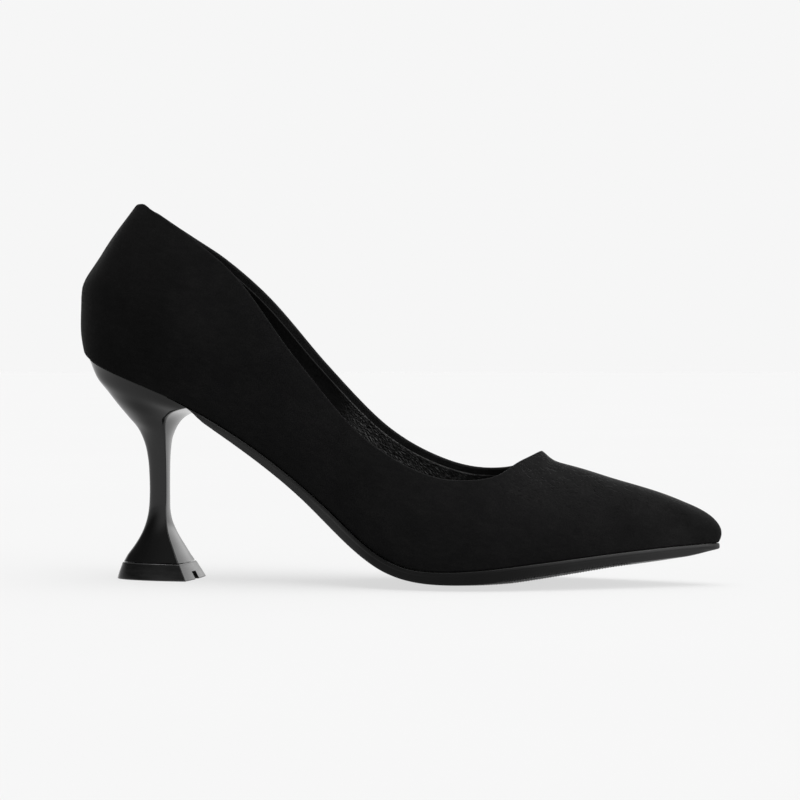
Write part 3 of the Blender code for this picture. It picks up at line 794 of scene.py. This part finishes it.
def seat_angles(count):
    """Angles round a D, outer front corner to inner front corner, and the seat's parameter at each."""
    x = np.linspace(SEAT_FRONT_X, SEAT_BACK_X, SEAT_STEPS)
    depth = SEAT_FRONT_X - RIBS[0].x
    half = np.arcsin(((SEAT_FRONT_X - x) / depth) ** (RING_SQUARE / 2))
    half = np.concatenate([half, half[-1] + (math.pi / 2 - half[-1]) * np.arange(1, count + 1) / count])
    t = np.interp(x, FEATHER_X, FEATHER_T)
    t = np.concatenate([t, t[-1] * (1 - np.arange(1, count + 1) / count)])
    return np.concatenate([half, math.pi - half[-2::-1]]), np.concatenate([t, other_side(t[-2::-1])])


RING_ANGLES, SEAT_T = seat_angles(BACK_STEPS)


def d_side(section):
    """Round side of one D section of the heel, from the outer front corner to the inner one."""
    power = 2 / section.square
    along = 1 - np.sin(RING_ANGLES) ** power
    aside = -np.copysign(np.abs(np.cos(RING_ANGLES)) ** power, np.cos(RING_ANGLES))
    aside *= 1 + section.bulge * np.sin(math.pi * along) ** 2
    y = aside * section.width / 2
    grown, gone = smoothstep(*STEM_GROWS, section.front_z), smoothstep(*STEM_FADES, section.front_z)
    turn = STEM_TURN * grown * (1 - gone)
    x = section.back_x + along * (section.front_x - section.back_x) - turn * along * y
    z = section.back_z + along * (section.front_z - section.back_z)
    return np.stack([x, y, z], -1)


def seat_side():
    """Outline of the heel's top, under the feather line and under the sole's tongue near the breast."""
    out = outward(SEAT_T)
    inset = SEAT_INSET + (SEAT_BACK_INSET - SEAT_INSET) * np.maximum(-out[:, :1], 0.0) ** 2
    point = feather(SEAT_T) - inset * out
    point[:, 2] = feather_height(point[:, 0]) - SEAT_GAP - tongue_edge(point[:, 0], 0.0)
    return point


def smooth_rows(rows, steps):
    """More rows between the given ones, on a smooth curve through each point."""
    gaps = np.linalg.norm(np.diff(rows, axis=0), axis=-1).mean(1)
    knots = np.concatenate([[0.0], gaps.cumsum()])[:, None, None]
    widths = np.diff(knots, axis=0)
    slope = np.diff(rows, axis=0) / widths
    before, after = widths[:-1], widths[1:]
    middle = (slope[:-1] * after + slope[1:] * before) / (before + after)
    lean = np.concatenate([slope[:1], middle, slope[-1:]])
    out = []
    for i in range(len(rows) - 1):
        for s in np.arange(steps) / steps:
            bend = (2 * s - 3) * s * s
            out.append(rows[i] * (1 + bend) - rows[i + 1] * bend
                       + widths[i] * s * (1 - s) * ((1 - s) * lean[i] - s * lean[i + 1]))
    return np.array(out + [rows[-1]])


SIDE_POINTS, FRONT_POINTS, EDGE_POINTS = 72, 14, 5
ROWS_BETWEEN = 7  # rings of the heel from one section to the next
EDGE_END = np.array([1.0, 1.6])  # first points of the front beside its rounded edges, in edge radii


def walk(line, places):
    """Points of a line at distances along it."""
    return np.stack([np.interp(places, arc_length(line), line[:, k]) for k in range(3)], 1)


def rounded_ring(side, radius):
    """Close a round side with a slightly swollen front, both front edges rounded."""
    whole = np.linalg.norm(np.diff(side, axis=0), axis=1).sum()
    body = walk(side, np.linspace(radius, whole - radius, SIDE_POINTS))
    across_front = side[0] - side[-1]
    width = np.linalg.norm(across_front)
    tight = radius * EDGE_END
    even = np.linspace(tight[-1], width - tight[-1], FRONT_POINTS)[1:-1]
    places = np.concatenate([tight, even, width - tight[::-1]])
    front = side[-1] + places[:, None] / width * across_front
    ahead = front.mean(0) - body.mean(0)
    swell = FRONT_CONVEX * width * (places - radius) * (width - radius - places) / (width / 2 - radius) ** 2
    front += swell[:, None] * ahead / np.linalg.norm(ahead)
    share = (np.arange(1, EDGE_POINTS + 1) / (EDGE_POINTS + 1))[:, None]

    def fillet(a, corner, b):
        return (1 - share) ** 2 * a + 2 * share * (1 - share) * corner + share ** 2 * b

    inner, outer = fillet(body[-1], side[-1], front[0]), fillet(front[-1], side[0], body[0])
    return np.concatenate([body, inner, front, outer])


def build_heel(material):
    sides = np.array([d_side(section) for section in HEEL_SECTIONS] + [seat_side()])
    rings = [rounded_ring(side, np.interp(side[0, 2], *HEEL_EDGE)) for side in smooth_rows(sides, ROWS_BETWEEN)]
    rim, middle = rings[-1], rings[-1].mean(0)
    for share, down in SEAT_DISH:
        rings.append(middle + share * (rim - middle) - np.array([0.0, 0.0, down]))
    return ring_solid("heel_spool", np.array(rings), material)


def build_tip(material):
    """Flared tip with softened rims, and the small notch at the bottom of its front."""
    curves = [table_curve(TIP_SECTIONS, column) for column in ("front_x", "back_x", "width")]
    rings = []
    for z, inset in TIP_RIMS:
        front, back, width = (curve(z) for curve in curves)
        section = HeelSection(front - inset, z, back + inset, z, width - 2 * inset, TIP_SQUARE)
        rings.append(rounded_ring(d_side(section), TIP_EDGE))
    tip = ring_solid("heel_tip_rubber", np.array(rings), material)
    bpy.ops.mesh.primitive_cube_add(size=1.0, location=(
        (TIP_SECTIONS[0].front_x - LENGTH / 2) * MM, -MIDDLE_Y * MM, 0.0))
    cutter = bpy.context.active_object
    cutter.scale = (2 * NOTCH_DEPTH * MM, NOTCH_WIDTH * MM, 2 * NOTCH_HEIGHT * MM)
    cut = tip.modifiers.new("notch", "BOOLEAN")
    cut.object = cutter
    cut.operation = "DIFFERENCE"
    bpy.context.view_layer.update()
    carved = bpy.data.meshes.new_from_object(tip.evaluated_get(bpy.context.evaluated_depsgraph_get()))
    tip.modifiers.clear()
    tip.data = carved
    bpy.data.objects.remove(cutter, do_unlink=True)
    carved.set_sharp_from_angle(angle=math.radians(TIP_SHARP_ANGLE))
    return tip


# Materials

class Nodes:
    """The nodes of a material or of the world, with short ways to add the ones used here."""

    def __init__(self, owner, shader, coords):
        owner.use_nodes = True
        self.owner, self.tree = owner, owner.node_tree
        self.shader = self.tree.nodes[shader]
        self.coords = self.node("TexCoord").outputs[coords]

    def put(self, value, socket):
        """Set a number or colour on a socket, or link what another node gives."""
        if isinstance(value, (int, float, tuple)):
            socket.default_value = value
        else:
            self.tree.links.new(value, socket)

    def fill(self, node, values):
        """Fill a node's inputs, named with _ for a space."""
        for name, value in values.items():
            self.put(value, node.inputs[name.replace("_", " ")])
        return node

    def node(self, kind, **values):
        return self.fill(self.tree.nodes.new("ShaderNode" + kind), values)

    def finish(self, **values):
        self.fill(self.shader, values)
        return self.owner

    def stretched(self, lengths, tilt=0.0):
        """Coordinates in units of the given lengths, along axes tilted about the shoe's width."""
        node = self.node("Mapping", Scale=lengths, Rotation=(0.0, tilt, 0.0), Vector=self.coords)
        node.vector_type = "TEXTURE"
        return node.outputs["Vector"]

    def noise(self, scale, detail=3.0, roughness=0.55, vector=None):
        node = self.node("TexNoise", Scale=scale, Detail=detail, Roughness=roughness, Vector=vector or self.coords)
        return node.outputs["Fac"]

    def cells(self, scale, vector=None):
        node = self.node("TexVoronoi", Scale=scale, Vector=vector or self.coords)
        node.feature = "DISTANCE_TO_EDGE"
        return node.outputs["Distance"]

    def math(self, operation, a, b):
        node = self.node("Math")
        node.operation = operation
        self.put(a, node.inputs[0])
        self.put(b, node.inputs[1])
        return node.outputs[0]

    def total(self, *terms):
        """Sum of the terms, each a value and its weight."""
        first, *others = [self.math("MULTIPLY", value, weight) for value, weight in terms]
        for other in others:
            first = self.math("ADD", first, other)
        return first

    def ramp(self, value, *stops):
        """Grey or colour by value; each stop is a position and what it has there."""
        node = self.node("ValToRGB", Fac=value)
        elements = node.color_ramp.elements
        while len(elements) < len(stops):
            elements.new(0.5)
        for element, (position, colour) in zip(elements, stops):
            element.position = position
            element.color = (*colour, 1.0) if isinstance(colour, tuple) else (colour, colour, colour, 1.0)
        return node.outputs["Color"]

    def place(self, axis, low, high):
        """0 to 1 along one axis of the coordinates."""
        split = self.node("SeparateXYZ", Vector=self.coords)
        node = self.node("MapRange", Value=split.outputs[axis], From_Min=low, From_Max=high)
        node.interpolation_type = "SMOOTHSTEP"
        return node.outputs["Result"]

    def blend(self, factor, a, b):
        return self.node("Mix", Factor=factor, A=a, B=b).outputs["Result"]

    def mix(self, factor, a, b):
        node = self.node("Mix")
        node.data_type = "RGBA"
        for value, index in ((factor, 0), (a, 6), (b, 7)):
            self.put(value, node.inputs[index])
        return node.outputs[2]

    def bump(self, height, strength, distance):
        return self.node("Bump", Height=height, Strength=strength, Distance=distance).outputs["Normal"]


def surface(name):
    return Nodes(bpy.data.materials.new(name), "Principled BSDF", "Object")


def suede_material():
    """Brushed nap with soft streaks and patches, and small dark scuffs on the vamp's top. Painted shade darkens
    the counter and painted light lightens the toe; the paler fuzz on the vamp's top is partly the nap's own specks
    and partly painted light.
    """
    n = surface("black_suede")
    nap = n.noise(2400.0, 4.0, 0.65)
    brushed = n.noise(1.0, 4.0, 0.62, n.stretched((0.0045, 0.0022, 0.0018), 0.33))
    mixed = n.total((nap, 0.45), (brushed, 0.25), (n.noise(60.0, 4.0, 0.6), 0.3))
    colour = n.ramp(mixed, (0.36, (0.0022, 0.0022, 0.0023)), (0.5, (0.0038, 0.0038, 0.0039)),
                    (0.64, (0.0064, 0.0063, 0.0062)))
    # painted shade: the same suede is given a darker colour over the counter at the back, where less light falls
    counter = n.ramp(mixed, (0.36, 0.0015), (0.5, 0.0026), (0.64, 0.0044))
    colour = n.mix(n.place("X", -0.062, -0.090), colour, counter)
    # painted light: the same suede is given a lighter colour at the toe end, which the light from the right front
    # reaches
    toe = n.ramp(mixed, (0.36, 0.0040), (0.5, 0.0066), (0.64, 0.0105))
    colour = n.mix(n.place("X", 0.066, 0.112), colour, toe)
    vamp = n.math("MULTIPLY", n.place("X", 0.034, 0.056), n.place("Z", 0.020, 0.040))
    fuzz = n.noise(1.0, 3.0, 0.7, n.stretched((0.0011, 0.0008, 0.0006), 0.33))
    # paler fuzz on the vamp's top: partly the nap's own specks, partly painted light where the overhead light
    # reaches the top
    pale_fuzz_and_painted_light = n.math("MULTIPLY", n.ramp(fuzz, (0.46, 0.0), (0.66, 1.0)), vamp)
    colour = n.mix(pale_fuzz_and_painted_light, colour, n.ramp(nap, (0.35, 0.0050), (0.65, 0.0112)))
    scuffs = n.noise(1.0, 3.0, 0.6, n.stretched((0.0021, 0.0011, 0.0008), 0.30))
    marks = n.math("MULTIPLY", n.ramp(scuffs, (0.57, 0.0), (0.65, 1.0)), vamp)
    colour = n.mix(marks, colour, n.ramp(nap, (0.4, 0.0014), (0.6, 0.0026)))
    # painted highlight: the sheen grows from the counter to the vamp, so the vamp's ridge shows a brighter rim
    # than the counter's back
    painted_rim_sheen = n.ramp(n.place("X", -0.090, 0.050), (0.0, 0.05), (1.0, 0.17))
    height = n.total((nap, 1.0), (brushed, 0.6), (marks, -0.8))
    return n.finish(Base_Color=colour, Roughness=0.95, Specular_IOR_Level=0.06, Sheen_Weight=painted_rim_sheen,
                    Sheen_Roughness=0.22, Normal=n.bump(height, 0.6, 0.00022))


def painted_light_facing_material():
    """The suede's turned edge inside the topline, in a paler copy of the suede: painted light on a band that
    catches more light than the wall round it.
    """
    n = surface("black_suede_facing_painted_light")
    nap = n.noise(2400.0, 4.0, 0.65)
    mixed = n.total((nap, 0.6), (n.noise(160.0, 4.0, 0.6), 0.4))
    # painted light: a paler copy of the suede's colour for the lit band inside the topline
    colour = n.ramp(mixed, (0.36, 0.0070), (0.5, 0.0110), (0.64, 0.0175))
    return n.finish(Base_Color=colour, Roughness=0.95, Specular_IOR_Level=0.06, Sheen_Weight=0.08,
                    Sheen_Roughness=0.25, Normal=n.bump(nap, 0.6, 0.00022))


def lining_material():
    """Smooth leather towards the heel, finely cracked where it bends at the waist."""
    n = surface("black_lining_leather")
    bend = n.math("SUBTRACT", n.place("X", -0.030, -0.016), n.place("X", 0.024, 0.036))
    wrinkle = n.noise(1.0, 4.0, 0.6, n.stretched((0.0022, 0.0011, 0.0008), 0.75))
    cracks = n.cells(1.0, n.stretched((0.0019, 0.0011, 0.0009), 0.75))
    broad = n.noise(210.0, 3.0)
    height = n.total((n.total((wrinkle, 0.7), (cracks, 0.9)), bend), (broad, 0.25))
    colour = n.ramp(n.total((wrinkle, 0.6), (broad, 0.4)), (0.35, 0.0020), (0.65, 0.0050))
    roughness = n.ramp(n.noise(3200.0, 2.0), (0.3, 0.32), (0.7, 0.46))
    gloss = n.ramp(bend, (0.0, 0.14), (1.0, 0.48))
    return n.finish(Base_Color=colour, Roughness=roughness, Specular_IOR_Level=gloss,
                    Normal=n.bump(height, 1.0, 0.0005))


def sock_material():
    n = surface("black_sock_leather")
    soft = n.noise(260.0, 3.0)
    height = n.total((n.cells(950.0), 0.7), (soft, 0.4))
    colour = n.ramp(soft, (0.35, 0.0035), (0.65, 0.0065))
    roughness = n.ramp(n.noise(2600.0, 2.0), (0.3, 0.40), (0.7, 0.58))
    return n.finish(Base_Color=colour, Roughness=roughness, Specular_IOR_Level=0.3,
                    Normal=n.bump(height, 0.5, 0.0004))


def sole_material():
    """Satin rubber, with painted light and shade in its gloss along its length: least under the ball, where shade
    falls, more at the waist and the toe.
    """
    n = surface("satin_black_sole")
    fine = n.noise(1900.0, 3.0)
    colour = n.ramp(n.noise(70.0, 3.0), (0.35, 0.0036), (0.65, 0.0050))
    roughness = n.ramp(fine, (0.3, 0.34), (0.7, 0.46))
    # painted shade and light: the gloss varies along the sole, lowest under the ball, where the floor's shade is
    gloss = n.ramp(n.place("X", -0.020, 0.107), (0.0, 0.25), (0.03, 0.17), (0.066, 0.085), (0.46, 0.075),
                   (0.62, 0.11), (0.77, 0.17), (0.93, 0.24), (1.0, 0.33))
    return n.finish(Base_Color=colour, Roughness=roughness, Specular_IOR_Level=gloss,
                    Normal=n.bump(fine, 0.12, 0.0001))


def heel_material():
    n = surface("gloss_black_heel")
    haze = n.noise(140.0, 3.0)
    colour = n.ramp(haze, (0.35, 0.0012), (0.65, 0.0018))
    roughness = n.ramp(haze, (0.3, 0.08), (0.7, 0.13))
    # painted shade: the flare reflects less towards the seat, which darkens its upper part
    gloss = n.ramp(n.place("Z", 0.052, 0.067), (0.0, 0.42), (1.0, 0.205))
    return n.finish(Base_Color=colour, Roughness=roughness, Specular_IOR_Level=gloss,
                    Normal=n.bump(n.noise(55.0, 2.0), 0.03, 0.0004))


def tip_material():
    n = surface("hard_black_rubber")
    scuff = n.noise(1.0, 4.0, 0.6, n.stretched((0.0055, 0.0055, 0.0014)))
    colour = n.ramp(scuff, (0.35, 0.0020), (0.68, 0.0050))
    roughness = n.ramp(scuff, (0.3, 0.12), (0.7, 0.24))
    return n.finish(Base_Color=colour, Roughness=roughness, Specular_IOR_Level=0.45,
                    Normal=n.bump(n.noise(1500.0, 3.0), 0.12, 0.00012))


# Stage

FLOOR_SHADE, FLOOR_RADIUS = 0.134, 40.0
FLOOR_GLOW = 0.66  # the floor is a light table, so that shadows on it stay pale
BACKDROP = 0.922  # brightness of the horizon behind the shoe
RIGHT_PANEL = 1.7  # low panel behind the toe, which the front of the heel mirrors
CAMERA_SIDE, LEFT_SIDE, RIGHT_FRONT = 0.86, 0.55, 2.6  # low down on the other sides
CAMERA_SKY, LEFT_SKY, BACK_SKY = 0.25, 0.1, 1.1  # half way up on three sides
OVERHEAD = 5.5  # the softbox straight up
KEY_STRENGTH, KEY_SPREAD = 0.9, math.radians(40.0)
KEY_FROM = Vector((0.55, -0.42, 0.72))
CAMERA_YAW, CAMERA_RISE, CAMERA_DISTANCE = 12.0, 0.7, 1.0
CAMERA_TARGET = Vector((0.0028, 0.003, 0.0676))
PIXEL_MM = 0.372  # size of the photo's pixel at the shoe
FOCAL_PIXELS, FRAME_PIXELS, SENSOR_MM = 2688.0, 800.0, 36.0


def floor_material():
    n = surface("pale_floor")
    colour = n.ramp(n.noise(3.0, 2.0), (0.3, FLOOR_SHADE - 0.002), (0.7, FLOOR_SHADE + 0.002))
    return n.finish(Base_Color=colour, Roughness=0.9, Specular_IOR_Level=0.0, Emission_Color=(1.0, 1.0, 1.0, 1.0),
                    Emission_Strength=FLOOR_GLOW)


def build_world():
    """Soft panels of light round the shoe, by direction, below a softbox."""
    n = Nodes(bpy.data.worlds.new("studio"), "Background", "Generated")
    bpy.context.scene.world = n.owner
    near = n.place("Y", 0.0, -0.45)
    left = n.place("X", -0.35, -0.85)
    behind = n.blend(n.place("X", 0.05, 0.16), BACKDROP, RIGHT_PANEL)
    ahead = n.blend(n.place("X", 0.3, 0.6), CAMERA_SIDE, RIGHT_FRONT)
    low = n.blend(left, n.blend(near, behind, ahead), LEFT_SIDE)
    low = n.blend(n.place("Z", 0.06, 0.13), BACKDROP, low)
    middle = n.blend(left, n.blend(near, BACK_SKY, CAMERA_SKY), LEFT_SKY)
    rise_far, rise_near = n.place("Z", 0.15, 0.32), n.place("Z", 0.36, 0.56)
    rise = n.blend(left, n.blend(near, rise_far, rise_near), rise_far)
    n.finish(Color=n.blend(n.place("Z", 0.84, 0.92), n.blend(rise, low, middle), OVERHEAD))


def build_lights():
    sun = bpy.data.lights.new("key_softbox", "SUN")
    sun.energy = KEY_STRENGTH
    sun.angle = KEY_SPREAD
    lamp = bpy.data.objects.new("key_softbox", sun)
    lamp.rotation_mode = "QUATERNION"
    lamp.rotation_quaternion = (-KEY_FROM).to_track_quat("-Z", "Y")
    bpy.context.scene.collection.objects.link(lamp)


def build_floor():
    bpy.ops.mesh.primitive_circle_add(vertices=96, radius=FLOOR_RADIUS, fill_type="NGON", location=(0.0, 0.0, 0.0))
    floor = bpy.context.active_object
    floor.name = "floor"
    floor.data.materials.append(floor_material())


def build_camera():
    """The photo's view, shifted by one pixel to lie on it."""
    yaw, rise = math.radians(CAMERA_YAW), math.radians(CAMERA_RISE)
    back = Vector((math.sin(yaw) * math.cos(rise), -math.cos(yaw) * math.cos(rise), math.sin(rise)))
    right = Vector((math.cos(yaw), math.sin(yaw), 0.0))
    camera = bpy.data.cameras.new("camera")
    camera.sensor_width = SENSOR_MM
    camera.lens = FOCAL_PIXELS / FRAME_PIXELS * SENSOR_MM
    camera.clip_start, camera.clip_end = 0.05, 200.0
    holder = bpy.data.objects.new("camera", camera)
    holder.location = CAMERA_TARGET + back * CAMERA_DISTANCE - right * PIXEL_MM * MM
    holder.rotation_mode = "QUATERNION"
    holder.rotation_quaternion = (-back).to_track_quat("-Z", "Y")
    bpy.context.scene.collection.objects.link(holder)
    bpy.context.scene.camera = holder


def main():
    attach(build_suede(suede_material(), painted_light_facing_material()), "upper")
    attach(build_lining(lining_material()), "upper")
    attach(build_sock(sock_material()), "insole")
    attach(build_outsole(sole_material()), "outsole")
    attach(build_heel(heel_material()), "heel")
    attach(build_tip(tip_material()), "heel_tip")
    build_world()
    build_lights()
    build_floor()
    build_camera()
    bpy.context.scene.view_settings.view_transform = "Standard"


main()
